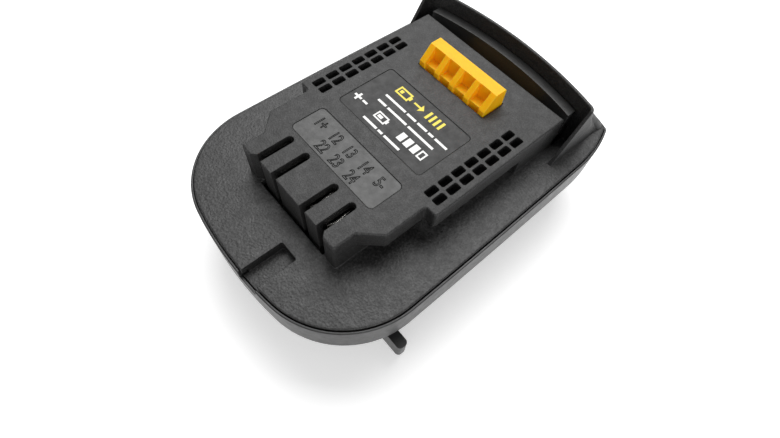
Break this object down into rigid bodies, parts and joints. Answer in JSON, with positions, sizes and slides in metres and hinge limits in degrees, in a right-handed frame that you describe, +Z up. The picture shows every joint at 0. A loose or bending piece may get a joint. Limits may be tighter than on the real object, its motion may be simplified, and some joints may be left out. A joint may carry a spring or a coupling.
{
  "type": "tool battery adapter",
  "caption": "Slide-on adapter between a cordless tool and a battery of another make: slotted contact tower, rail grooves, sprung catch, hood and an underside socket.",
  "frame": {"origin": "middle of the rest face under the socket's side walls, at the centre of the overall box", "axes": "+X across, +Y from the rounded front towards the hood, +Z up through the deck"},
  "size_m": [0.0826, 0.1156, 0.0424],
  "materials": {
    "shell_black": "fine speckled texture",
    "tray_black": "fine satin texture",
    "latch_yellow": "satin",
    "button_black": "satin",
    "spring_steel": "drawn wire",
    "inlay_grey": "satin",
    "label_film": "semi-gloss film",
    "contact_metal": "nickel plated",
    "block_black": "moulded",
    "board_green": "solder mask",
    "chip_black": "moulded",
    "can_aluminium": "satin",
    "wire_red": "smooth sleeve",
    "wire_black": "smooth sleeve",
    "screw_steel": "zinc plated"
  },
  "bodies": {
    "adapter_body": {"upper_shell": "shell_black", "lower_shell": "tray_black", "latch_spring_left": "spring_steel", "latch_spring_right": "spring_steel", "marking_plate": "inlay_grey", "rating_label": "label_film", "power_clip_positive": "contact_metal", "signal_clip_left": "contact_metal", "signal_clip_right": "contact_metal", "power_clip_negative": "contact_metal", "contact_carrier": "block_black", "blade_block": "block_black", "power_blade_positive": "contact_metal", "signal_blade_left": "contact_metal", "signal_blade_right": "contact_metal", "power_blade_negative": "contact_metal", "circuit_board": "board_green", "controller_chip": "chip_black", "capacitor": "can_aluminium", "power_transistor": "chip_black", "resistors": "chip_black", "power_wire_positive": "wire_red", "power_wire_negative": "wire_black", "housing_screws": "screw_steel", "board_screws": "screw_steel", "block_screws": "screw_steel"},
    "latch": {"latch_catch": "latch_yellow", "release_button": "button_black", "button_screws": "screw_steel"}
  },
  "joints": [
    {"name": "latch_press", "type": "slide", "parent": "adapter_body", "child": "latch", "axis": [0, 0, -1], "range_m": [0, 0.0045], "stiffness_N_per_m": 800, "springref_m": -0.003, "deforming": ["latch_spring_left", "latch_spring_right"]}
  ]
}
